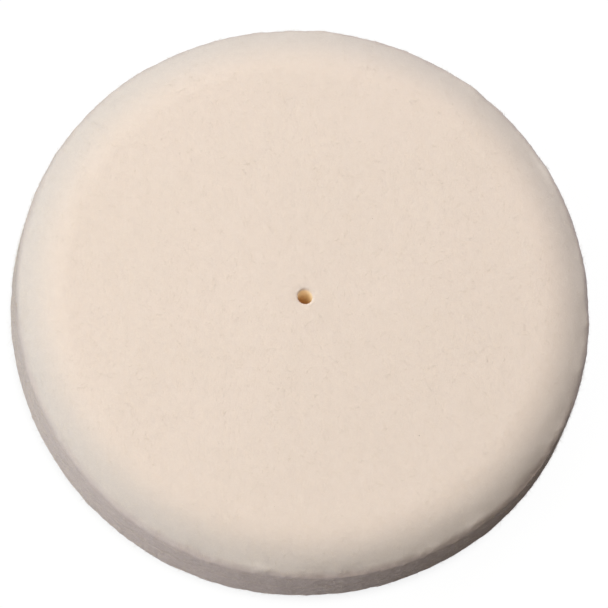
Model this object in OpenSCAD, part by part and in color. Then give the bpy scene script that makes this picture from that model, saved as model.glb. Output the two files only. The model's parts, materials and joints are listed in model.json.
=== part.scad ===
// Felt polishing wheel: a round slab laminated from four flat plies of pressed wool
// felt. Both faces are flat in the middle and roll over to the rim in a wide, shallow
// shoulder that ends at a crease. A small pin hole runs through the middle, so that
// the wheel screws itself onto a tapered spindle.
//
// Units are millimetres. The wheel lies on its back face. +Z is its spin axis, and the
// origin is where that axis leaves the back face.

/* [Wheel] */
// Outside diameter of the wheel
wheel_d = 152.4; // [101.6:0.1:203.2]
// Thickness from the back face to the front face
wheel_t = 25.4; // [19:0.1:50.8]
// Diameter of the pin hole through the middle
pin_hole_d = 4; // [3:0.1:12.7]

/* [Shoulder] */
// Width of the rolled shoulder, measured in from the rim
shoulder_w = 14.2; // [6:0.1:20]
// Drop of the shoulder, from the flat face to the crease at the rim
shoulder_drop = 4.2; // [1:0.1:6]

/* [Lamination] */
// Thickness of each glue line between two plies
glue_t = 0.15; // [0.05:0.01:0.4]
// How far the glue stops short of the rim, so that it never meets the work
glue_rim_inset = 0.4; // [0.2:0.1:2]
// How far the glue stops short of the pin hole
glue_hole_inset = 0.5; // [0.2:0.1:2]

/* [Colours] */
// Colour of the two face plies
face_felt_colour = "#e7d7c8";
// Colour of the two core plies
core_felt_colour = "#e0d0c0";
// Colour of the dried glue
glue_colour = "#c8a46c";

/* [Hidden] */

$fn = 180;

// The plies are counted upwards from the back face.
ply_count = 4;
BACK_PLY = 0;
BACK_CORE_PLY = 1;
FRONT_CORE_PLY = 2;
FRONT_PLY = 3;

// A glue line has the number of the ply that it lies on.
BACK_GLUE = 0;
MIDDLE_GLUE = 1;
FRONT_GLUE = 2;

ply_t = (wheel_t - (ply_count - 1) * glue_t) / ply_count;
ply_pitch = ply_t + glue_t;

wheel_r = wheel_d / 2;
pin_hole_r = pin_hole_d / 2;
face_r = wheel_r - shoulder_w;

// The shoulder is one arc. It leaves the flat face without a corner and meets the rim
// shoulder_drop lower.
shoulder_r = (pow(shoulder_w, 2) + pow(shoulder_drop, 2)) / (2 * shoulder_drop);

// Extra length of a cutting tool past the faces that it cuts through
cut_past = 1;

// Section of one shoulder: the felt under the arc, standing on the level of the crease.
module shoulder_section() {
    intersection() {
        square([shoulder_w, shoulder_drop]);
        translate([0, shoulder_drop - shoulder_r])
            circle(r = shoulder_r, $fn = 360);
    }
}

// Half section of the whole wheel, from the spin axis out to the rim.
module wheel_section() {
    square([face_r, wheel_t]);
    translate([0, shoulder_drop])
        square([wheel_r, wheel_t - 2 * shoulder_drop]);
    translate([face_r, wheel_t - shoulder_drop])
        shoulder_section();
    translate([face_r, shoulder_drop])
        mirror([0, 1])
            shoulder_section();
}

// One ply: the slice of the wheel's section at its level, turned and pierced.
module felt_ply(number) {
    ply_z = number * ply_pitch;
    difference() {
        rotate_extrude()
            intersection() {
                wheel_section();
                translate([0, ply_z])
                    square([wheel_r, ply_t]);
            }
        translate([0, 0, ply_z - cut_past])
            cylinder(r = pin_hole_r, h = ply_t + 2 * cut_past);
    }
}

// One glue line: a thin washer of dried glue, clear of the rim and of the pin hole.
module glue_line(number) {
    glue_z = number * ply_pitch + ply_t;
    translate([0, 0, glue_z])
        difference() {
            cylinder(r = wheel_r - glue_rim_inset, h = glue_t);
            translate([0, 0, -cut_past])
                cylinder(r = pin_hole_r + glue_hole_inset, h = glue_t + 2 * cut_past);
        }
}

module front_ply() { color(face_felt_colour) felt_ply(FRONT_PLY); }
module front_glue_line() { color(glue_colour) glue_line(FRONT_GLUE); }
module front_core_ply() { color(core_felt_colour) felt_ply(FRONT_CORE_PLY); }
module middle_glue_line() { color(glue_colour) glue_line(MIDDLE_GLUE); }
module back_core_ply() { color(core_felt_colour) felt_ply(BACK_CORE_PLY); }
module back_glue_line() { color(glue_colour) glue_line(BACK_GLUE); }
module back_ply() { color(face_felt_colour) felt_ply(BACK_PLY); }

front_ply();
front_glue_line();
front_core_ply();
middle_glue_line();
back_core_ply();
back_glue_line();
back_ply();
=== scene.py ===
"""Felt polishing wheel: four plies of pressed wool felt, glued face to face.

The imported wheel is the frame. Each ply gets a felt body with a soft crease, a cut
side wall and a lipped pin hole, and a nap of loose wool fibres stands on it. The three
glue lines keep their own solids and get a dried glue finish.
"""

import json
import math

import bmesh
import bpy
import numpy as np
from bpy.props import FloatProperty, FloatVectorProperty, IntProperty, PointerProperty
from bpy.types import Operator, Panel, PropertyGroup
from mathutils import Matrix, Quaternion, Vector

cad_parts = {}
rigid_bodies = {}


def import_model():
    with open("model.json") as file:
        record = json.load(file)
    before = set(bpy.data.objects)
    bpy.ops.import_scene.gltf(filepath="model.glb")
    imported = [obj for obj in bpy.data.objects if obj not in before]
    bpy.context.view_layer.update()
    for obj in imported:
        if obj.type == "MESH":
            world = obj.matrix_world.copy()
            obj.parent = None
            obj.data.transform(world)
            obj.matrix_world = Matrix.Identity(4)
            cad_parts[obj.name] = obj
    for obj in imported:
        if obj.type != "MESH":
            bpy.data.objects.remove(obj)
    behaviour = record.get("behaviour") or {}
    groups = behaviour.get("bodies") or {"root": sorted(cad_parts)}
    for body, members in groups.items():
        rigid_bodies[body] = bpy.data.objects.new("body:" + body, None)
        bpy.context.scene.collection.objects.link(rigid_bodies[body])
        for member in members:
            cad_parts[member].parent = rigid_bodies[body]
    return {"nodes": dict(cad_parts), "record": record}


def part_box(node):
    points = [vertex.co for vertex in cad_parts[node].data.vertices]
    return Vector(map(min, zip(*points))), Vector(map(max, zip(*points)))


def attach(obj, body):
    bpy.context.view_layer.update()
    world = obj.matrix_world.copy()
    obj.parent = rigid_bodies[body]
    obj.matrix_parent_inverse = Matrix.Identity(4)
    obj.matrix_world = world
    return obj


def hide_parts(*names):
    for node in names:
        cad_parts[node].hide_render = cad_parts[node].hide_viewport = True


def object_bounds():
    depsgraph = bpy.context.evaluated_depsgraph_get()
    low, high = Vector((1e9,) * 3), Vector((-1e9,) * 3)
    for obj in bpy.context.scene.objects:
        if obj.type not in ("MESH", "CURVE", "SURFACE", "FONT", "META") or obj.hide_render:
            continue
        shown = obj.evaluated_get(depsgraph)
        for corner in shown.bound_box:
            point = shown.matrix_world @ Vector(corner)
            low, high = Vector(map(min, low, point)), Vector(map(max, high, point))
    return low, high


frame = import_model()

bl_info = {
    "name": "Felt Polishing Wheel",
    "version": (1, 0, 0),
    "blender": (4, 5, 0),
    "location": "3D View > Sidebar > Felt Wheel",
    "description": "Felt bodies, nap, glue finish and studio for a laminated felt wheel",
    "category": "Add Mesh",
}

MM = 0.001
ROOT = "root"

CAD_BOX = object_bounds()
WHEEL_RADIUS = max(CAD_BOX[1].x, CAD_BOX[1].y)
WHEEL_BACK = CAD_BOX[0].z
WHEEL_FRONT = CAD_BOX[1].z
MIDDLE = (WHEEL_BACK + WHEEL_FRONT) / 2
HALF_THICKNESS = (WHEEL_FRONT - WHEEL_BACK) / 2
BORE_RADIUS = next(
    mount["dims"]["r_mm"] * MM
    for mount in frame["record"]["mounts"]
    if mount["name"] == "pin_hole"
)

FACE_PLIES = ("front_ply", "back_ply")
CORE_PLIES = ("front_core_ply", "back_core_ply")
GLUE_LINES = ("back_glue_line", "middle_glue_line", "front_glue_line")
SEAMS = tuple((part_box(node)[0].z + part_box(node)[1].z) / 2 for node in GLUE_LINES)
MIDDLE_OF = {
    node: (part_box(node)[0].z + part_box(node)[1].z) / 2 for node in FACE_PLIES + CORE_PLIES
}


# ------------------------------------------------------------ sizes and colours


class FeltWheelSizes(PropertyGroup):
    """Sizes of the felt details that the plain solids leave out."""

    shoulder_width: FloatProperty(
        name="Shoulder width",
        description="Width of the rolled shoulder, measured in from the rim",
        default=14.2 * MM, min=6 * MM, max=20 * MM, precision=4, unit="LENGTH",
    )
    shoulder_drop: FloatProperty(
        name="Shoulder drop",
        description="Drop from the flat face to the crease",
        default=4.2 * MM, min=1 * MM, max=6 * MM, precision=4, unit="LENGTH",
    )
    crease_radius: FloatProperty(
        name="Crease radius",
        description="Softness of the crease between the shoulder and the side wall",
        default=3.0 * MM, min=0.2 * MM, max=5 * MM, precision=4, unit="LENGTH",
    )
    lip_radius: FloatProperty(
        name="Hole lip radius",
        description="Rounding of the felt at both mouths of the pin hole",
        default=0.55 * MM, min=0.1 * MM, max=2 * MM, precision=4, unit="LENGTH",
    )
    crease_wander: FloatProperty(
        name="Crease wander",
        description="How far the crease wanders up and down the side wall",
        default=0.22 * MM, min=0, max=1 * MM, precision=5, unit="LENGTH",
    )
    rim_oval: FloatProperty(
        name="Rim oval",
        description="How far the rim bulges at two opposite sides",
        default=0.15 * MM, min=0, max=0.4 * MM, precision=5, unit="LENGTH",
    )
    rim_corners: FloatProperty(
        name="Rim corners",
        description="How far the rim bulges at its four faint corners",
        default=0.25 * MM, min=0, max=0.4 * MM, precision=5, unit="LENGTH",
    )
    worn_drop: FloatProperty(
        name="Worn drop",
        description="How much lower the crease lies where the shoulder is rolled over most",
        default=0.3 * MM, min=0, max=0.6 * MM, precision=5, unit="LENGTH",
    )
    seam_depth: FloatProperty(
        name="Seam depth",
        description="Depth of the pinch in the side wall where two plies meet",
        default=0.06 * MM, min=0, max=0.35 * MM, precision=5, unit="LENGTH",
    )
    seam_width: FloatProperty(
        name="Seam width",
        description="Half width of the pinch where two plies meet",
        default=0.25 * MM, min=0.05 * MM, max=1 * MM, precision=5, unit="LENGTH",
    )
    face_waves: FloatProperty(
        name="Face waves",
        description="Height of the slow waves that pressing leaves",
        default=0.035 * MM, min=0, max=0.3 * MM, precision=5, unit="LENGTH",
    )
    face_pile: FloatProperty(
        name="Face pile",
        description="Height of the small lumps on the buffed faces",
        default=0.008 * MM, min=0, max=0.1 * MM, precision=5, unit="LENGTH",
    )
    wall_pile: FloatProperty(
        name="Wall pile",
        description="Height of the lumps on the cut side wall",
        default=0.08 * MM, min=0, max=0.3 * MM, precision=5, unit="LENGTH",
    )
    fibre_radius: FloatProperty(
        name="Fibre radius",
        description="Radius of one wool fibre",
        default=0.018 * MM, min=0.008 * MM, max=0.05 * MM, precision=6, unit="LENGTH",
    )
    fibre_length: FloatProperty(
        name="Fibre length",
        description="Usual length of a loose fibre",
        default=1.1 * MM, min=0.3 * MM, max=4 * MM, precision=5, unit="LENGTH",
    )
    face_fibres: IntProperty(
        name="Face fibres",
        description="How many loose fibres stand on each face ply",
        default=8800, min=1, max=9000,
    )
    core_fibres: IntProperty(
        name="Core fibres",
        description="How many loose fibres stand on each core ply",
        default=5000, min=1, max=9000,
    )
    seed: IntProperty(
        name="Seed",
        description="Starting number for the random felt and fibres",
        default=11,
    )


def colour(name, description, default):
    return FloatVectorProperty(
        name=name, description=description, default=default,
        size=3, min=0, max=1, subtype="COLOR",
    )


class FeltWheelColours(PropertyGroup):
    """Colours of the felt, the glue and the lamps."""

    face: colour("Face felt", "Buffed felt of the faces", (0.85, 0.705, 0.64))
    # Painted shade: the felt turns to this darker colour over the last 12.5 mm to the rim, all the way
    # round.
    shoulder: colour("Shoulder felt", "Felt where the shoulder ends", (0.695, 0.61, 0.585))
    # The wall colour is partly the cut felt's own duller tone and partly painted shade.
    wall: colour("Wall felt", "Cut felt of the side wall", (0.655, 0.54, 0.525))
    bore: colour("Bore felt", "Felt inside the pin hole", (0.82, 0.67, 0.47))
    # Painted light: emission colours for the glow in the pin hole, at its mouth and deep down.
    painted_mouth_glow: colour("Mouth glow", "Light through the felt, at the hole's mouth", (0.19, 0.145, 0.085))
    painted_deep_glow: colour("Deep glow", "Light through the felt, deep in the hole", (0.045, 0.018, 0.006))
    stain: colour("Glue stain", "Felt that glue has soaked into", (0.55, 0.43, 0.30))
    fleck: colour("Flecks", "Bits of plant left in the wool", (0.30, 0.20, 0.12))
    nap: colour("Nap", "Loose wool fibres", (0.92, 0.83, 0.75))
    glue: colour("Glue", "Dried glue film", (0.52, 0.31, 0.11))
    left_lamp: colour("Left lamp", "Cool lamp at the near left", (0.82, 0.89, 1.0))
    back_lamp: colour("Back lamp", "Neutral lamp behind the wheel", (0.94, 0.95, 0.97))
    side_lamp: colour("Side lamp", "Lamp at the left side", (0.66, 0.97, 1.0))
    right_lamp: colour("Right lamp", "Faint warm lamp at the right side", (1.0, 0.45, 0.20))
    top_lamp: colour("Top lamp", "Warm lamp over the wheel", (1.0, 0.84, 0.40))


class FeltWheelStudio(PropertyGroup):
    """Lamps, floor and camera."""

    left_power: FloatProperty(
        name="Left power", description="Power of the left lamp, in watts",
        default=9.2, min=0,
    )
    back_power: FloatProperty(
        name="Back power", description="Power of the back lamp, in watts",
        default=9.7, min=0,
    )
    side_power: FloatProperty(
        name="Side power", description="Power of the side lamp, in watts",
        default=2.5, min=0,
    )
    right_power: FloatProperty(
        name="Right power", description="Power of the right lamp, in watts",
        default=0.3, min=0,
    )
    top_power: FloatProperty(
        name="Top power", description="Power of the top lamp, in watts",
        default=4.2, min=0,
    )
    room_strength: FloatProperty(
        name="Room strength", description="Strength of the light from all round",
        default=0.06, min=0, max=1, subtype="FACTOR",
    )
    shadow: FloatProperty(
        name="Floor shadow", description="How much of the wheel's shadow the floor shows",
        default=0.12, min=0, max=1, subtype="FACTOR",
    )
    elevation: FloatProperty(
        name="Camera elevation", description="Height of the camera above the horizon",
        default=math.radians(70.4), subtype="ANGLE",
    )
    roll: FloatProperty(
        name="Camera roll", description="Turn of the camera about its line of sight",
        default=math.radians(19.2), subtype="ANGLE",
    )
    distance: FloatProperty(
        name="Camera distance", description="From the camera to the middle of the wheel",
        default=3.048, min=0.3, unit="LENGTH",
    )
    lens: FloatProperty(
        name="Lens", description="Focal length of the camera, in millimetres",
        default=683.9, min=20,
    )
    slide_right: FloatProperty(
        name="Slide right", description="How far the camera slides to its right",
        default=1.06 * MM, precision=4, unit="LENGTH",
    )
    slide_up: FloatProperty(
        name="Slide up", description="How far the camera slides up its own frame",
        default=2.00 * MM, precision=4, unit="LENGTH",
    )


# ------------------------------------------------------------ felt surface

# The rim is a little out of round: directions of one side and one corner that bulge,
# and of the side where the shoulder is rolled over most. The rim dips so little that it
# still covers the glue lines.
OVAL_SIDE = math.radians(85)
FIRST_CORNER = math.radians(-15)
WORN_SIDE = math.radians(-32)
DEEPEST_DIP = 0.3 * MM
ROUND_INSIDE = 0.72 * WHEEL_RADIUS
STRAYS_BEYOND = 0.96 * WHEEL_RADIUS


def smooth_step(low, high, value):
    share = np.clip((value - low) / (high - low), 0.0, 1.0)
    return share * share * (3.0 - 2.0 * share)


def lumps(points, wavelength, seed, waves=28):
    """Smooth random heights with a spread of about 1, from plane waves near one length."""
    rng = np.random.default_rng(seed)
    directions = rng.normal(size=(waves, 3))
    directions /= np.linalg.norm(directions, axis=1, keepdims=True)
    lengths = wavelength * rng.uniform(0.7, 1.5, waves)
    phases = rng.uniform(0.0, 2.0 * math.pi, waves)
    total = np.zeros(len(points))
    for direction, length, phase in zip(directions, lengths, phases):
        total += np.sin(points @ (direction * 2.0 * math.pi / length) + phase)
    return total / math.sqrt(waves / 2.0)


def wall_share(points, sizes):
    """1 on the cut side wall, 0 on the faces and shoulders, with a soft crease between."""
    radius = np.hypot(points[:, 0], points[:, 1])
    height = np.abs(points[:, 2] - MIDDLE)
    crease = HALF_THICKNESS - sizes.shoulder_drop
    outer = smooth_step(WHEEL_RADIUS - 3.0 * MM, WHEEL_RADIUS - 0.3 * MM, radius)
    return outer * (1.0 - smooth_step(crease - 0.3 * MM, crease + 2.0 * MM, height))


def bore_share(points):
    """1 in the pin hole and at its lip, 0 on the open face."""
    radius = np.hypot(points[:, 0], points[:, 1])
    return 1.0 - smooth_step(BORE_RADIUS + 0.4 * MM, BORE_RADIUS + 2.0 * MM, radius)


def rim_shape(points, sizes):
    """How the pressed rim strays from a true circle and a level crease, as movements."""
    radius = np.hypot(points[:, 0], points[:, 1])
    angle = np.arctan2(points[:, 1], points[:, 0])
    stray = sizes.rim_oval * np.cos(2 * (angle - OVAL_SIDE))
    stray = stray + sizes.rim_corners * np.cos(4 * (angle - FIRST_CORNER))
    stray = np.maximum(stray, -DEEPEST_DIP) * smooth_step(ROUND_INSIDE, STRAYS_BEYOND, radius)
    height = np.abs(points[:, 2] - MIDDLE)
    crease = HALF_THICKNESS - sizes.shoulder_drop
    near = np.exp(-(((height - crease) / (1.3 * MM)) ** 2))
    near = near * smooth_step(WHEEL_RADIUS - 5 * MM, WHEEL_RADIUS - 1 * MM, radius)
    wander = sizes.crease_wander * near * (
        lumps(points, 24 * MM, sizes.seed * 100 + 8)
        + 0.5 * lumps(points, 8 * MM, sizes.seed * 100 + 9)
    )
    # The worn side's drop grows over the last 6 mm of the shoulder, and dies out on the
    # side wall before it reaches the outer seam.
    outer_seam = SEAMS[2] - SEAMS[1]
    worn = sizes.worn_drop * np.clip(np.cos(angle - WORN_SIDE), 0.0, 1.0) ** 3
    worn = worn * smooth_step(WHEEL_RADIUS - 6 * MM, WHEEL_RADIUS - 0.5 * MM, radius)
    worn = worn * smooth_step(outer_seam + 0.5 * MM, crease, height)
    worn = worn * np.sign(points[:, 2] - MIDDLE)
    outward = points[:, :2] / np.maximum(radius, 1e-9)[:, None]
    return np.column_stack((outward * stray[:, None], wander - worn))


def felt_relief(points, sizes):
    """How far the felt stands proud of its true surface at each point."""
    seed = sizes.seed * 100
    wall = wall_share(points, sizes)
    bore = bore_share(points)
    pressed = sizes.face_waves * (
        lumps(points, 34 * MM, seed + 1) + 0.4 * lumps(points, 9 * MM, seed + 2)
    )
    buffed = sizes.face_pile * lumps(points, 2.2 * MM, seed + 3)
    cut = sizes.wall_pile * (
        0.5 * lumps(points, 6.0 * MM, seed + 4)
        + 0.35 * lumps(points, 2.4 * MM, seed + 5)
        + 0.2 * lumps(points, 1.3 * MM, seed + 6)
    )
    punched = 0.02 * MM * lumps(points, 1.4 * MM, seed + 7)
    return (pressed + buffed) * (1.0 - bore) + cut * wall + punched * bore


# ------------------------------------------------------------ ply sections
#
# A section is a list of rings. A ring is (radius, height, out, up): where it is, and
# the direction in which the felt relief moves it. A ring with no direction is hidden
# and gets no relief.

# How many corners a ring has near the bore, and beyond each radius.
BORE_CORNERS = 120
CORNERS_BEYOND = ((44 * MM, 960), (21 * MM, 480), (9 * MM, 240))


def corners_of(ring):
    """How many corners a ring has. It halves towards the middle, so lumps stay even."""
    for radius, corners in CORNERS_BEYOND:
        if ring[0] > radius:
            return corners
    return BORE_CORNERS


def arc_rings(centre, radius, start, end, steps):
    """Rings along an arc from one angle to another, without the last one."""
    rings = []
    for step in range(steps):
        turn = start + (end - start) * step / steps
        out, up = math.cos(turn), math.sin(turn)
        rings.append((centre[0] + radius * out, centre[1] + radius * up, out, up))
    return rings


def face_rings(sizes, gap):
    """Rings of one face from the hole's lip to the crease, heights from the middle."""
    lip = sizes.lip_radius
    crease = sizes.crease_radius
    edge = WHEEL_RADIUS - sizes.shoulder_width
    arc = (sizes.shoulder_width ** 2 + sizes.shoulder_drop ** 2) / (2 * sizes.shoulder_drop)
    arc_middle = HALF_THICKNESS - arc
    reach = WHEEL_RADIUS - crease - edge
    crease_middle = arc_middle + math.sqrt((arc - crease) ** 2 - reach ** 2)
    meeting = math.atan2(crease_middle - arc_middle, reach)

    lip_middle = (BORE_RADIUS + lip, HALF_THICKNESS - lip)
    rings = arc_rings(lip_middle, lip, math.pi, math.pi / 2, 6)
    # The rings of the flat face lie close together at the hole and spread out to the gap.
    radius, step = BORE_RADIUS + lip, 0.15 * MM
    while radius < edge - 0.6 * step:
        rings.append((radius, HALF_THICKNESS, 0.0, 1.0))
        step = min(step * 1.15, gap)
        radius += step
    rings += arc_rings((edge, arc_middle), arc, math.pi / 2, meeting, 32)
    rings += arc_rings((WHEEL_RADIUS - crease, crease_middle), crease, meeting, 0.0, 10)
    return rings + [(WHEEL_RADIUS, crease_middle, 1.0, 0.0)]


def straight_rings(radius, start, end, gap, out):
    """Rings up or down a side wall or bore, without the last one."""
    steps = max(2, round(abs(end - start) / gap))
    return [(radius, start + (end - start) * step / steps, out, 0.0) for step in range(steps)]


def glued_rings(level):
    """Rings of a hidden ply face that lies against the glue, from the bore outwards."""
    between = [radius * MM for radius in (5.0, 8.0, 14.0, 20.0, 32.0, 43.0, 58.0, 70.0)]
    radii = [BORE_RADIUS + 0.5 * MM] + between + [WHEEL_RADIUS - 0.45 * MM]
    return [(radius, level, 0.0, 0.0) for radius in radii]


def pinch(rings, sizes):
    """Draws the side wall and the bore back from the surface close to each seam."""
    pinched = []
    for radius, height, out, up in rings:
        near = min(abs(height - seam) for seam in SEAMS)
        depth = sizes.seam_depth * math.exp(-((near / sizes.seam_width) ** 2))
        upright = abs(out) > 0.99
        pinched.append((radius - out * depth if upright else radius, height, out, up))
    return pinched


def ply_rings(node, sizes):
    """The closed section of one ply: up the bore, out over it, and down the side wall."""
    low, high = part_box(node)[0].z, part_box(node)[1].z
    below = max((seam for seam in SEAMS if seam < MIDDLE_OF[node]), default=None)
    above = min((seam for seam in SEAMS if seam > MIDDLE_OF[node]), default=None)
    if node in CORE_PLIES:
        rings = straight_rings(BORE_RADIUS, below, above, 0.4 * MM, -1.0)
        rings.append((BORE_RADIUS, above, -1.0, 0.0))
        rings += glued_rings(high)
        rings += straight_rings(WHEEL_RADIUS, above, below, 0.3 * MM, 1.0)
        rings.append((WHEEL_RADIUS, below, 1.0, 0.0))
        rings += reversed(glued_rings(low))
        return pinch(rings, sizes)

    # The back ply is the front ply's section mirrored through the middle of the wheel.
    seam = below if node == "front_ply" else above
    level = low if node == "front_ply" else high
    side = 1.0 if node == "front_ply" else -1.0
    face = [(r, MIDDLE + side * h, out, side * up) for r, h, out, up in face_rings(sizes, 0.8 * MM)]
    rings = straight_rings(BORE_RADIUS, seam, face[0][1], 0.4 * MM, -1.0)
    rings += face
    rings += straight_rings(WHEEL_RADIUS, face[-1][1], seam, 0.2 * MM, 1.0)[1:]
    rings.append((WHEEL_RADIUS, seam, 1.0, 0.0))
    rings += reversed(glued_rings(level))
    return pinch(rings, sizes)


def join_rings(first, first_corners, second, second_corners):
    """Faces between two rings, where one may have twice the corners of the other."""
    if first_corners == second_corners:
        return [
            (first + i, first + (i + 1) % first_corners,
             second + (i + 1) % second_corners, second + i)
            for i in range(first_corners)
        ]
    if first_corners < second_corners:
        return [face[::-1] for face in join_rings(second, second_corners, first, first_corners)]
    faces = []
    for i in range(second_corners):
        a, b, c = first + 2 * i, first + 2 * i + 1, first + (2 * i + 2) % first_corners
        d, e = second + i, second + (i + 1) % second_corners
        faces += [(a, b, d), (b, e, d), (b, c, e)]
    return faces


def turn_section(name, rings, sizes):
    """Turns a closed section into a ply, with the felt relief in its skin."""
    points, outs, starts, counts = [], [], [], []
    for ring in rings:
        corners = corners_of(ring)
        angles = np.arange(corners) * 2.0 * math.pi / corners
        radius, height, out, up = ring
        starts.append(sum(counts))
        counts.append(corners)
        across, along = np.cos(angles), np.sin(angles)
        points.append(np.column_stack(
            (radius * across, radius * along, np.full(corners, height))))
        outs.append(np.column_stack((out * across, out * along, np.full(corners, up))))
    points, outs = np.concatenate(points), np.concatenate(outs)
    points = points + outs * felt_relief(points, sizes)[:, None] + rim_shape(points, sizes)

    faces = []
    for i in range(len(rings)):
        j = (i + 1) % len(rings)
        faces += join_rings(starts[i], counts[i], starts[j], counts[j])
    mesh = bpy.data.meshes.new(name)
    mesh.from_pydata(points.tolist(), [], faces)
    work = bmesh.new()
    work.from_mesh(mesh)
    bmesh.ops.recalc_face_normals(work, faces=work.faces)
    work.to_mesh(mesh)
    work.free()
    mesh.polygons.foreach_set("use_smooth", [True] * len(mesh.polygons))
    mesh.update()
    piece = bpy.data.objects.new(name, mesh)
    bpy.context.scene.collection.objects.link(piece)
    return piece


# ------------------------------------------------------------ nap

FIBRE_NODES = 4
FIBRE_SIDES = 3


def visible_spots(piece, wanted, sizes, rng):
    """Random spots on a ply's skin, with the skin's normals. The crease and wall get more."""
    mesh = piece.data
    count = len(mesh.polygons)
    middles = np.empty(count * 3)
    normals = np.empty(count * 3)
    areas = np.empty(count)
    mesh.polygons.foreach_get("center", middles)
    mesh.polygons.foreach_get("normal", normals)
    mesh.polygons.foreach_get("area", areas)
    middles, normals = middles.reshape(-1, 3), normals.reshape(-1, 3)
    radius = np.hypot(middles[:, 0], middles[:, 1])
    height = np.abs(middles[:, 2] - MIDDLE)
    on_face = (height > HALF_THICKNESS - sizes.shoulder_drop - 0.01 * MM) & (radius > BORE_RADIUS)
    on_wall = (radius > WHEEL_RADIUS - 0.35 * MM) & (np.abs(normals[:, 2]) < 0.7)
    weight = areas * (on_face | on_wall) * (1.0 + 0.9 * wall_share(middles, sizes))
    picked = rng.choice(count, size=wanted, p=weight / weight.sum())
    spots = middles[picked] + rng.uniform(-0.5, 0.5, (wanted, 3)) * np.sqrt(areas[picked])[:, None]
    spots -= normals[picked] * np.sum(
        (spots - middles[picked]) * normals[picked], axis=1)[:, None]
    return spots, normals[picked]


def unit(vectors):
    return vectors / np.maximum(np.linalg.norm(vectors, axis=1, keepdims=True), 1e-12)


def fibre_mesh(name, spots, normals, sizes, rng):
    """One mesh of curved, tapered wool fibres, one from each spot."""
    count = len(spots)
    along = unit(np.cross(normals, rng.normal(size=(count, 3))))
    across = np.cross(normals, along)
    length = sizes.fibre_length * np.clip(rng.lognormal(0.0, 0.45, count), 0.35, 2.6)
    lift = rng.uniform(0.05, 0.75, count) ** 1.3
    # Fibres under the wheel are pressed almost flat.
    lift *= np.where(normals[:, 2] < -0.9, 0.05, 1.0)
    droop = rng.uniform(-1.2, 0.5, count) * lift
    bend = rng.normal(0.0, 1.1, count)
    thickness = sizes.fibre_radius * rng.uniform(0.75, 1.25, count)

    place = spots - normals * (1.2 * sizes.fibre_radius)
    points = np.empty((count, FIBRE_NODES * FIBRE_SIDES + 1, 3))
    for node in range(FIBRE_NODES + 1):
        share = node / FIBRE_NODES
        heading = bend * share
        rise = lift + droop * share
        flat = np.cos(heading)[:, None] * along + np.sin(heading)[:, None] * across
        ahead = np.cos(rise)[:, None] * flat + np.sin(rise)[:, None] * normals
        if node == FIBRE_NODES:
            points[:, -1] = place
            break
        first = unit(np.cross(ahead, normals))
        second = np.cross(ahead, first)
        width = thickness * (1.0 - 0.45 * share)
        for side in range(FIBRE_SIDES):
            turn = 2.0 * math.pi * side / FIBRE_SIDES
            ring = math.cos(turn) * first + math.sin(turn) * second
            points[:, node * FIBRE_SIDES + side] = place + width[:, None] * ring
        place = place + ahead * (length / FIBRE_NODES)[:, None]

    pattern = [tuple(range(FIBRE_SIDES))[::-1]]
    for node in range(FIBRE_NODES - 1):
        for side in range(FIBRE_SIDES):
            a = node * FIBRE_SIDES + side
            b = node * FIBRE_SIDES + (side + 1) % FIBRE_SIDES
            pattern.append((a, b, b + FIBRE_SIDES, a + FIBRE_SIDES))
    tip = FIBRE_NODES * FIBRE_SIDES
    for side in range(FIBRE_SIDES):
        pattern.append((tip - FIBRE_SIDES + side, tip - FIBRE_SIDES + (side + 1) % FIBRE_SIDES, tip))
    per_fibre = tip + 1
    faces = [
        tuple(fibre * per_fibre + corner for corner in face)
        for fibre in range(count)
        for face in pattern
    ]
    mesh = bpy.data.meshes.new(name)
    mesh.from_pydata(points.reshape(-1, 3).tolist(), [], faces)
    mesh.polygons.foreach_set("use_smooth", [True] * len(mesh.polygons))
    mesh.update()
    return mesh


# ------------------------------------------------------------ shader groups


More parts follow.
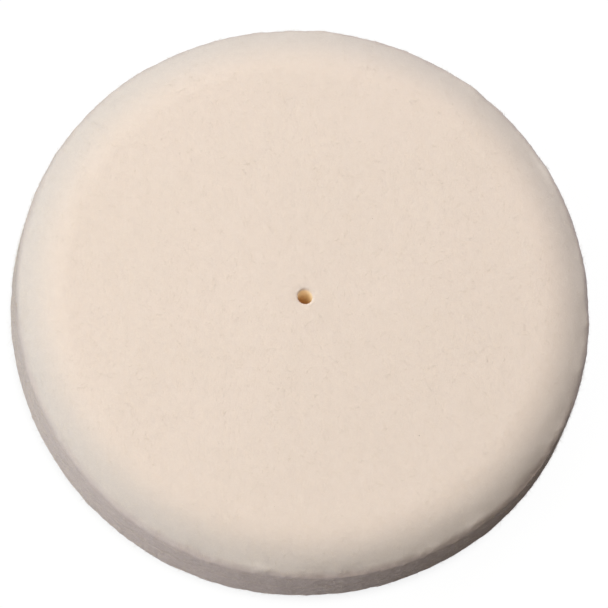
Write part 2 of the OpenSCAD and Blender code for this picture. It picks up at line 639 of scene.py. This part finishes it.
class Wiring:
    """Adds nodes to a material or group, a column at a time, and joins them up."""

    def __init__(self, tree):
        self.tree = tree
        self.column = 0

    def node(self, kind, **settings):
        made = self.tree.nodes.new(kind)
        made.location = (self.column * 180, 0)
        self.column += 1
        for name, value in settings.items():
            setattr(made, name, value)
        return made

    def feed(self, socket, value):
        if isinstance(value, bpy.types.NodeSocket):
            self.tree.links.new(value, socket)
        elif value is not None:
            socket.default_value = value

    def math(self, operation, first, second=None, clamp=False):
        made = self.node("ShaderNodeMath", operation=operation, use_clamp=clamp)
        self.feed(made.inputs[0], first)
        self.feed(made.inputs[1], second)
        return made.outputs[0]

    def spread(self, value, low, high, to_low=0.0, to_high=1.0):
        made = self.node("ShaderNodeMapRange", interpolation_type="SMOOTHSTEP")
        for socket, given in zip(made.inputs, (value, low, high, to_low, to_high)):
            self.feed(socket, given)
        return made.outputs[0]

    def mix(self, share, first, second, blend="MIX"):
        # Sockets 6 and 7 are the two colours, and output 2 is the mixed one.
        made = self.node("ShaderNodeMix", data_type="RGBA", blend_type=blend)
        self.feed(made.inputs["Factor"], share)
        self.feed(made.inputs[6], first)
        self.feed(made.inputs[7], second)
        return made.outputs[2]

    def place(self, vector, kind="POINT", scale=(1, 1, 1), turn=0.0, shift=(0, 0, 0)):
        """Scales, turns and shifts a place. The kind TEXTURE shifts, turns, then shrinks it."""
        made = self.node("ShaderNodeMapping", vector_type=kind)
        self.feed(made.inputs["Vector"], vector)
        made.inputs["Scale"].default_value = scale
        made.inputs["Rotation"].default_value = (0.0, 0.0, turn)
        made.inputs["Location"].default_value = shift
        return made.outputs[0]

    def noise(self, vector, scale, detail=2.0, roughness=0.5, distortion=0.0):
        made = self.node("ShaderNodeTexNoise")
        values = {
            "Vector": vector, "Scale": scale, "Detail": detail,
            "Roughness": roughness, "Distortion": distortion,
        }
        for name, value in values.items():
            self.feed(made.inputs[name], value)
        return made.outputs["Fac"]

    def from_axis(self, place):
        """How far a place is from the Z axis, and its height."""
        parts = self.node("ShaderNodeSeparateXYZ")
        self.feed(parts.inputs[0], place)
        x_squared = self.math("POWER", parts.outputs[0], 2.0)
        y_squared = self.math("POWER", parts.outputs[1], 2.0)
        return self.math("SQRT", self.math("ADD", x_squared, y_squared)), parts.outputs[2]

    def emboss(self, shader, height, strength, depth):
        """Presses a height into the skin that a shader shows."""
        bump = self.node("ShaderNodeBump")
        self.feed(bump.inputs["Height"], height)
        bump.inputs["Strength"].default_value = strength
        bump.inputs["Distance"].default_value = depth
        self.feed(shader.inputs["Normal"], bump.outputs[0])

    def group(self, tree, **values):
        made = self.node("ShaderNodeGroup", node_tree=tree)
        for name, value in values.items():
            self.feed(made.inputs[name.replace("_", " ")], value)
        return made.outputs


def new_group(name, takes, gives):
    """An empty shader group with named inputs and outputs, its wiring, and both ends."""
    tree = bpy.data.node_groups.new(name, "ShaderNodeTree")
    for label, kind, default in takes:
        socket = tree.interface.new_socket(name=label, in_out="INPUT", socket_type=kind)
        if default is not None:
            socket.default_value = default
    for label, kind in gives:
        tree.interface.new_socket(name=label, in_out="OUTPUT", socket_type=kind)
    wiring = Wiring(tree)
    start = wiring.node("NodeGroupInput")
    end = tree.nodes.new("NodeGroupOutput")
    return tree, wiring, start.outputs, end.inputs


def once(make):
    """Builds a group the first time it is asked for, and hands back the same one after."""
    built = {}

    def ask():
        if "tree" not in built:
            built["tree"] = make()
        return built["tree"]
    return ask


@once
def tangled_fibres():
    """Fine fibres that lie every way in the plane of the felt."""
    tree, w, take, give = new_group(
        "Tangled fibres",
        [("Vector", "NodeSocketVector", None), ("Fineness", "NodeSocketFloat", 1.0)],
        [("Strands", "NodeSocketFloat"), ("Height", "NodeSocketFloat")],
    )
    scaled = w.node("ShaderNodeVectorMath", operation="SCALE")
    w.feed(scaled.inputs[0], take["Vector"])
    w.feed(scaled.inputs["Scale"], take["Fineness"])
    strands = None
    # Each layer is noise drawn out one way, and its half-way lines are the fibres.
    for layer, turn in enumerate((12, 57, 99, 148)):
        laid = w.place(
            scaled.outputs[0], "TEXTURE", scale=(6.2, 1.0, 1.0), turn=math.radians(turn),
            shift=(7.3 * layer, 3.1 * layer, 1.7 * layer),
        )
        ridge = w.math("ABSOLUTE", w.math("SUBTRACT", w.noise(laid, 2.3, 1.0, 0.5, 0.9), 0.5))
        strand = w.spread(ridge, 0.0, 0.035, 1.0, 0.0)
        strands = strand if strands is None else w.math("MAXIMUM", strands, strand)
    fluff = w.noise(scaled.outputs[0], 3.5, 3.0, 0.65)
    w.feed(give["Strands"], strands)
    w.feed(give["Height"], w.math("ADD", w.math("MULTIPLY", strands, 0.5), fluff))
    return tree


@once
def wool_clouds():
    """Slow, cloudy changes of shade where the wool was carded thick or thin."""
    tree, w, take, give = new_group(
        "Wool clouds",
        [("Vector", "NodeSocketVector", None), ("Cloud Size", "NodeSocketFloat", 1.0)],
        [("Clouds", "NodeSocketFloat"), ("Mottle", "NodeSocketFloat")],
    )
    scale = w.math("DIVIDE", 1.0, take["Cloud Size"])
    broad = w.noise(take["Vector"], w.math("MULTIPLY", scale, 0.045), 2.0, 0.5, 0.4)
    close = w.noise(take["Vector"], w.math("MULTIPLY", scale, 0.38), 4.0, 0.6, 0.3)
    w.feed(give["Clouds"], w.spread(broad, 0.3, 0.7))
    w.feed(give["Mottle"], w.spread(close, 0.25, 0.75))
    return tree


@once
def plant_flecks():
    """A few small bits of plant that stayed in the wool."""
    tree, w, take, give = new_group(
        "Plant flecks",
        [
            ("Vector", "NodeSocketVector", None),
            ("Spacing", "NodeSocketFloat", 6.0),
            ("Share", "NodeSocketFloat", 0.3),
        ],
        [("Flecks", "NodeSocketFloat")],
    )
    bend = w.node("ShaderNodeTexNoise")
    w.feed(bend.inputs["Vector"], take["Vector"])
    bent = w.mix(0.12, take["Vector"], bend.outputs["Color"], "ADD")
    cells = w.node("ShaderNodeTexVoronoi", feature="F1")
    w.feed(cells.inputs["Vector"], bent)
    w.feed(cells.inputs["Scale"], w.math("DIVIDE", 1.0, take["Spacing"]))
    parts = w.node("ShaderNodeSeparateColor")
    w.feed(parts.inputs[0], cells.outputs["Color"])
    chosen = w.math("LESS_THAN", parts.outputs[0], take["Share"])
    reach = w.math("ADD", w.math("MULTIPLY", parts.outputs[1], 0.03), 0.015)
    spot = w.math("SUBTRACT", 1.0, w.math("DIVIDE", cells.outputs["Distance"], reach), True)
    w.feed(give["Flecks"], w.math("MULTIPLY", w.spread(spot, 0.0, 0.6), chosen))
    return tree


@once
def wheel_zones():
    """Where the side wall, the pin hole and the seams are. All lengths are in millimetres."""
    tree, w, take, give = new_group(
        "Wheel zones",
        [
            ("Vector", "NodeSocketVector", None),
            ("Wheel Radius", "NodeSocketFloat", 76.2),
            ("Half Thickness", "NodeSocketFloat", 12.7),
            ("Shoulder Drop", "NodeSocketFloat", 4.2),
            ("Hole Radius", "NodeSocketFloat", 2.0),
            ("Seam Pitch", "NodeSocketFloat", 6.39),
        ],
        [
            ("Wall", "NodeSocketFloat"), ("Shoulder", "NodeSocketFloat"),
            ("Bore", "NodeSocketFloat"), ("Depth", "NodeSocketFloat"),
            ("Seam", "NodeSocketFloat"),
        ],
    )
    radius, level = w.from_axis(take["Vector"])
    from_rim = w.math("SUBTRACT", take["Wheel Radius"], radius)
    height = w.math("ABSOLUTE", level)
    ragged = w.math("MULTIPLY", w.math("SUBTRACT", w.noise(take["Vector"], 0.2, 3.0, 0.55), 0.5), 2.6)
    crease = w.math("SUBTRACT", take["Half Thickness"], take["Shoulder Drop"])
    past_crease = w.math("SUBTRACT", w.math("ADD", height, ragged), crease)
    outer = w.spread(from_rim, 0.4, 2.2, 1.0, 0.0)
    # Wall fades out over about 4 mm past the crease, so the wall's painted shade rolls softly onto the
    # shoulder.
    w.feed(give["Wall"], w.math("MULTIPLY", outer, w.spread(past_crease, -1.8, 2.4, 1.0, 0.0)))
    # Shoulder is 1 at the rim and 0 from 12.5 mm in; it places the shoulder's painted shade.
    w.feed(give["Shoulder"], w.spread(from_rim, 1.0, 12.5, 1.0, 0.0))
    inside = w.spread(w.math("SUBTRACT", radius, take["Hole Radius"]), 0.1, 0.9, 1.0, 0.0)
    depth = w.math("SUBTRACT", take["Half Thickness"], height)
    w.feed(give["Bore"], w.math("MULTIPLY", inside, w.spread(depth, 0.3, 1.6)))
    # Depth spreads the hole's painted glow from the mouth inwards.
    w.feed(give["Depth"], w.spread(depth, 0.6, 10.0))
    ply = w.math("PINGPONG", height, take["Seam Pitch"])
    near = w.math("MINIMUM", ply, w.math("ABSOLUTE", w.math("SUBTRACT", height, take["Seam Pitch"])))
    near = w.math("ADD", near, w.math("MULTIPLY", ragged, 0.12))
    edge = w.spread(from_rim, 0.5, 1.5, 1.0, 0.0)
    w.feed(give["Seam"], w.math("MULTIPLY", w.spread(near, 0.08, 0.4, 1.0, 0.0), edge))
    return tree


# ------------------------------------------------------------ materials


def new_material(name):
    """A material with one Principled shader, its wiring, and positions in millimetres."""
    material = bpy.data.materials.new(name)
    material.use_nodes = True
    material.node_tree.nodes.clear()
    w = Wiring(material.node_tree)
    output = w.node("ShaderNodeOutputMaterial")
    shader = w.node("ShaderNodeBsdfPrincipled")
    w.feed(output.inputs["Surface"], shader.outputs[0])
    place = w.node("ShaderNodeTexCoord")
    wheel = w.place(
        place.outputs["Object"], scale=(1 / MM,) * 3, shift=(0, 0, -MIDDLE / MM))
    return material, w, shader, wheel


# The tone that thickly carded wool leans towards, and what the darker patches keep of the
# red, green and blue of their felt, fibre or glue.
THICK_WOOL = (0.70, 0.60, 0.50)
# DARKER_FELT also darkens the side wall's hollows, as painted shade.
DARKER_FELT = (0.86, 0.84, 0.81)
DARKER_NAP = (0.84, 0.82, 0.78)
SOAKED_GLUE = (0.66, 0.60, 0.52)


def shade(tone):
    return (*tone, 1.0)


def felt_material(name, sizes, colours, grain, flecks):
    """Pressed wool felt: a tangle of fibres, cloudy shade, flecks, wall, bore and seams, with painted
    shade on the shoulder and wall and a painted glow in the hole.
    """
    material, w, shader, wheel = new_material(name)
    zones = w.group(
        wheel_zones(), Vector=wheel, Wheel_Radius=WHEEL_RADIUS / MM,
        Half_Thickness=HALF_THICKNESS / MM, Shoulder_Drop=sizes.shoulder_drop / MM,
        Hole_Radius=BORE_RADIUS / MM, Seam_Pitch=(SEAMS[2] - SEAMS[1]) / MM,
    )
    tangle = w.group(tangled_fibres(), Vector=wheel, Fineness=grain)
    clouds = w.group(wool_clouds(), Vector=wheel, Cloud_Size=1.0)
    bits = w.group(plant_flecks(), Vector=wheel, Spacing=5.0, Share=flecks)

    # Painted shade: the felt darkens over the rolled shoulder towards the rim.
    tone = w.mix(zones["Shoulder"], shade(colours.face), shade(colours.shoulder))
    # The side wall: partly the cut felt's own duller tone, partly painted shade.
    tone = w.mix(zones["Wall"], tone, shade(colours.wall))
    tone = w.mix(w.spread(clouds["Clouds"], 0.0, 1.0, 0.0, 0.05), tone, shade(THICK_WOOL))
    darker = w.mix(1.0, tone, shade(DARKER_FELT), "MULTIPLY")
    tone = w.mix(w.spread(clouds["Mottle"], 0.0, 1.0, 0.12, 0.0), tone, darker)
    # Painted shade: the side wall is darker in the hollows of its fibre relief.
    wall_hollow_shade = w.math("MULTIPLY", w.spread(tangle["Height"], 0.35, 0.9, 0.5, 0.0), zones["Wall"])
    tone = w.mix(wall_hollow_shade, tone, darker)
    tone = w.mix(w.math("MULTIPLY", tangle["Strands"], 0.16), tone, shade(colours.nap))
    tone = w.mix(w.math("MULTIPLY", zones["Seam"], 0.15), tone, shade(colours.stain))
    tone = w.mix(zones["Bore"], tone, shade(colours.bore))
    tone = w.mix(w.math("MULTIPLY", bits["Flecks"], 0.6), tone, shade(colours.fleck))
    w.feed(shader.inputs["Base Color"], tone)
    w.feed(shader.inputs["Roughness"], w.spread(tangle["Height"], 0.3, 1.0, 0.98, 0.86))
    # Painted light: the felt in the hole glows with its own emission, most of it near the mouth.
    glow = w.mix(zones["Depth"], shade(colours.painted_mouth_glow), shade(colours.painted_deep_glow))
    w.feed(shader.inputs["Emission Color"], w.mix(zones["Bore"], shade((0.0,) * 3), glow))
    shader.inputs["Emission Strength"].default_value = 1.0
    shader.inputs["Specular IOR Level"].default_value = 0.2
    shader.inputs["Sheen Weight"].default_value = 0.12
    shader.inputs["Sheen Roughness"].default_value = 0.55
    shader.inputs["Sheen Tint"].default_value = (1.0, 0.98, 0.95, 1.0)

    coarse = w.noise(wheel, 0.75, 4.0, 0.62)
    relief = w.math("ADD", tangle["Height"], w.math("MULTIPLY", coarse, w.math(
        "ADD", 0.5, w.math("MULTIPLY", zones["Wall"], 3.0))))
    w.emboss(shader, relief, strength=0.45, depth=0.06 * MM)
    return material


def nap_material(colours):
    """Loose wool: each stretch of fibre a little lighter or darker than the next."""
    material, w, shader, wheel = new_material("wool_nap")
    clouds = w.group(wool_clouds(), Vector=wheel, Cloud_Size=0.35)
    darker = w.mix(1.0, shade(colours.nap), shade(DARKER_NAP), "MULTIPLY")
    tone = w.mix(clouds["Mottle"], darker, shade(colours.nap))
    w.feed(shader.inputs["Base Color"], tone)
    w.feed(shader.inputs["Roughness"], w.spread(clouds["Clouds"], 0.0, 1.0, 0.6, 0.8))
    shader.inputs["Specular IOR Level"].default_value = 0.3
    shader.inputs["Sheen Weight"].default_value = 0.1
    w.emboss(shader, w.noise(wheel, 30.0, 1.0), strength=0.3, depth=0.004 * MM)
    return material


def glue_material(colours):
    """Dried amber glue with clouded patches where it soaked into the felt."""
    material, w, shader, wheel = new_material("dried_glue")
    clouds = w.group(wool_clouds(), Vector=wheel, Cloud_Size=0.6)
    soaked = w.mix(1.0, shade(colours.glue), shade(SOAKED_GLUE), "MULTIPLY")
    tone = w.mix(clouds["Mottle"], soaked, shade(colours.glue))
    w.feed(shader.inputs["Base Color"], tone)
    w.feed(shader.inputs["Roughness"], w.spread(clouds["Mottle"], 0.0, 1.0, 0.55, 0.28))
    w.emboss(shader, w.noise(wheel, 1.2, 3.0), strength=0.4, depth=0.05 * MM)
    return material


def floor_material(studio):
    """A pale floor that looks white, with a faint shadow, and gives back a little light."""
    material = bpy.data.materials.new("pale_floor")
    material.use_nodes = True
    material.node_tree.nodes.clear()
    w = Wiring(material.node_tree)
    output = w.node("ShaderNodeOutputMaterial")
    paper = w.node("ShaderNodeBsdfDiffuse")
    place = w.node("ShaderNodeTexCoord")
    grain = w.noise(place.outputs["Object"], 220.0, 3.0)
    w.feed(paper.inputs["Color"], w.mix(grain, shade((0.34,) * 3), shade((0.38,) * 3)))
    # The glow and what the lamps make of the paper add up to about white.
    glow = w.node("ShaderNodeEmission")
    glow.inputs["Color"].default_value = (1.0, 1.0, 1.0, 1.0)
    glow.inputs["Strength"].default_value = (1.02 - 0.35 * studio.shadow) / (1.0 - studio.shadow)
    radius, _ = w.from_axis(place.outputs["Object"])
    # Painted shadow: the white glow fades out under the wheel and just past its rim, so the floor there
    # is darker.
    open_floor = w.spread(radius, WHEEL_RADIUS - 12.0 * MM, WHEEL_RADIUS + 1.5 * MM)
    seen = w.math("MULTIPLY", w.node("ShaderNodeLightPath").outputs["Is Camera Ray"], open_floor)
    both = w.node("ShaderNodeMixShader")
    w.feed(both.inputs[0], w.math("MULTIPLY", seen, 1.0 - studio.shadow))
    w.feed(both.inputs[1], paper.outputs[0])
    w.feed(both.inputs[2], glow.outputs[0])
    w.feed(output.inputs["Surface"], both.outputs[0])
    return material


# ------------------------------------------------------------ pieces


def settings(context):
    scene = context.scene
    return scene.felt_wheel_sizes, scene.felt_wheel_colours, scene.felt_wheel_studio


def add_ply(node, name, material, sizes):
    """A felt body for one ply, which stands for its plain solid."""
    piece = turn_section(name, ply_rings(node, sizes), sizes)
    piece.data.materials.append(material)
    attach(piece, ROOT)
    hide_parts(node)
    return piece


class FELTWHEEL_OT_face_plies(Operator):
    """Make the felt bodies of the front and back plies, with shoulders and hole lips"""

    bl_idname = "felt_wheel.face_plies"
    bl_label = "Front and Back Plies"

    def execute(self, context):
        sizes, colours, _ = settings(context)
        material = felt_material("buffed_felt", sizes, colours, grain=1.0, flecks=0.10)
        for node in FACE_PLIES:
            add_ply(node, node + "_felt", material, sizes)
        return {"FINISHED"}


class FELTWHEEL_OT_core_plies(Operator):
    """Make the felt bodies of the two core plies, with their cut side walls"""

    bl_idname = "felt_wheel.core_plies"
    bl_label = "Core Plies"

    def execute(self, context):
        sizes, colours, _ = settings(context)
        material = felt_material("cut_felt", sizes, colours, grain=0.9, flecks=0.16)
        for node in CORE_PLIES:
            add_ply(node, node + "_felt", material, sizes)
        return {"FINISHED"}


class FELTWHEEL_OT_glue_lines(Operator):
    """Give the three glue lines their dried glue finish"""

    bl_idname = "felt_wheel.glue_lines"
    bl_label = "Glue Lines"

    def execute(self, context):
        _, colours, _ = settings(context)
        material = glue_material(colours)
        for node in GLUE_LINES:
            for place in frame["nodes"][node].material_slots:
                place.material = material
        return {"FINISHED"}


class FELTWHEEL_OT_nap(Operator):
    """Raise the loose wool fibres on every ply"""

    bl_idname = "felt_wheel.nap"
    bl_label = "Wool Nap"

    def execute(self, context):
        sizes, colours, _ = settings(context)
        material = nap_material(colours)
        for number, node in enumerate(FACE_PLIES + CORE_PLIES):
            rng = np.random.default_rng(sizes.seed * 1000 + number)
            wanted = sizes.face_fibres if node in FACE_PLIES else sizes.core_fibres
            spots, normals = visible_spots(bpy.data.objects[node + "_felt"], wanted, sizes, rng)
            mesh = fibre_mesh(node + "_nap", spots, normals, sizes, rng)
            mesh.materials.append(material)
            nap = bpy.data.objects.new(node + "_nap", mesh)
            context.scene.collection.objects.link(nap)
            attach(nap, ROOT)
        return {"FINISHED"}


# ------------------------------------------------------------ studio

LAMP_SIZE = 0.8
LAMP_DISTANCE = 1.2
FLOOR_HALF = 6.0
FLOOR_LEVEL = WHEEL_BACK - 0.15 * MM


def add_lamp(context, name, power, tone, azimuth, elevation, aim):
    """A round soft lamp that faces the wheel. Azimuth 0 is +X, and 90 is +Y."""
    around, up = math.radians(azimuth), math.radians(elevation)
    away = Vector((
        math.cos(up) * math.cos(around), math.cos(up) * math.sin(around), math.sin(up)))
    data = bpy.data.lights.new(name, "AREA")
    data.shape = "DISK"
    data.size = LAMP_SIZE
    data.energy = power
    data.color = tone
    lamp = bpy.data.objects.new(name, data)
    lamp.location = aim + away * LAMP_DISTANCE
    lamp.rotation_mode = "QUATERNION"
    lamp.rotation_quaternion = (-away).to_track_quat("-Z", "Y")
    lamp.visible_camera = False
    context.scene.collection.objects.link(lamp)


class FELTWHEEL_OT_stage(Operator):
    """Lay the pale floor and set the lamps, the room light and the camera"""

    bl_idname = "felt_wheel.stage"
    bl_label = "Floor, Lamps and Camera"

    def execute(self, context):
        _, colours, studio = settings(context)
        wheel_middle = Vector((0.0, 0.0, MIDDLE))
        self.lay_floor(context, studio)
        for name, power, tone, azimuth, elevation in (
            ("left_lamp", studio.left_power, colours.left_lamp, 225, 35),
            ("back_lamp", studio.back_power, colours.back_lamp, 90, 35),
            ("side_lamp", studio.side_power, colours.side_lamp, 180, 35),
            ("right_lamp", studio.right_power, colours.right_lamp, 300, 35),
            ("top_lamp", studio.top_power, colours.top_lamp, 210, 62),
        ):
            add_lamp(context, name, power, tone, azimuth, elevation, wheel_middle)
        self.paint_backdrop(context, studio)
        self.set_camera(context, studio, wheel_middle)
        return {"FINISHED"}

    def lay_floor(self, context, studio):
        mesh = bpy.data.meshes.new("floor")
        corners = [
            (-FLOOR_HALF, -FLOOR_HALF, FLOOR_LEVEL), (FLOOR_HALF, -FLOOR_HALF, FLOOR_LEVEL),
            (FLOOR_HALF, FLOOR_HALF, FLOOR_LEVEL), (-FLOOR_HALF, FLOOR_HALF, FLOOR_LEVEL),
        ]
        mesh.from_pydata(corners, [], [(0, 1, 2, 3)])
        floor = bpy.data.objects.new("floor", mesh)
        mesh.materials.append(floor_material(studio))
        context.scene.collection.objects.link(floor)

    def paint_backdrop(self, context, studio):
        """White behind the wheel, which lights it only a little."""
        world = bpy.data.worlds.new("white_backdrop")
        world.use_nodes = True
        world.node_tree.nodes.clear()
        w = Wiring(world.node_tree)
        output = w.node("ShaderNodeOutputWorld")
        backdrop = w.node("ShaderNodeBackground")
        backdrop.inputs["Color"].default_value = (1.0, 1.0, 1.0, 1.0)
        seen = w.node("ShaderNodeLightPath").outputs["Is Camera Ray"]
        rest = w.math("MULTIPLY", seen, 1.0 - studio.room_strength)
        w.feed(backdrop.inputs["Strength"], w.math("ADD", rest, studio.room_strength))
        w.feed(output.inputs["Surface"], backdrop.outputs[0])
        context.scene.world = world

    def set_camera(self, context, studio, wheel_middle):
        context.scene.view_settings.view_transform = "Standard"
        data = bpy.data.cameras.new("camera")
        data.lens = studio.lens
        data.sensor_width = 36.0
        data.clip_start = 0.1
        data.clip_end = 20.0
        camera = bpy.data.objects.new("camera", data)
        back = Vector((0.0, -math.cos(studio.elevation), math.sin(studio.elevation)))
        turn = (-back).to_track_quat("-Z", "Y") @ Quaternion((0.0, 0.0, 1.0), studio.roll)
        slide = turn @ Vector((studio.slide_right, studio.slide_up, 0.0))
        camera.location = wheel_middle + back * studio.distance + slide
        camera.rotation_mode = "QUATERNION"
        camera.rotation_quaternion = turn
        context.scene.collection.objects.link(camera)
        context.scene.camera = camera


class FELTWHEEL_PT_panel(Panel):
    """The wheel's pieces, in the order in which they are made"""

    bl_idname = "FELTWHEEL_PT_panel"
    bl_label = "Felt Wheel"
    bl_space_type = "VIEW_3D"
    bl_region_type = "UI"
    bl_category = "Felt Wheel"

    def draw(self, context):
        column = self.layout.column(align=True)
        for step in STEPS:
            column.operator(step.bl_idname)
        for group in settings(context):
            box = self.layout.box()
            for name in group.__annotations__:
                box.prop(group, name)


STEPS = (
    FELTWHEEL_OT_face_plies,
    FELTWHEEL_OT_core_plies,
    FELTWHEEL_OT_glue_lines,
    FELTWHEEL_OT_nap,
    FELTWHEEL_OT_stage,
)
CLASSES = (FeltWheelSizes, FeltWheelColours, FeltWheelStudio) + STEPS + (FELTWHEEL_PT_panel,)


def register():
    for made in CLASSES:
        bpy.utils.register_class(made)
    bpy.types.Scene.felt_wheel_sizes = PointerProperty(type=FeltWheelSizes)
    bpy.types.Scene.felt_wheel_colours = PointerProperty(type=FeltWheelColours)
    bpy.types.Scene.felt_wheel_studio = PointerProperty(type=FeltWheelStudio)


def unregister():
    del bpy.types.Scene.felt_wheel_studio
    del bpy.types.Scene.felt_wheel_colours
    del bpy.types.Scene.felt_wheel_sizes
    for made in reversed(CLASSES):
        bpy.utils.unregister_class(made)


def main():
    register()
    bpy.ops.felt_wheel.face_plies()
    bpy.ops.felt_wheel.core_plies()
    bpy.ops.felt_wheel.glue_lines()
    bpy.ops.felt_wheel.nap()
    bpy.ops.felt_wheel.stage()


if __name__ == "__main__":
    main()
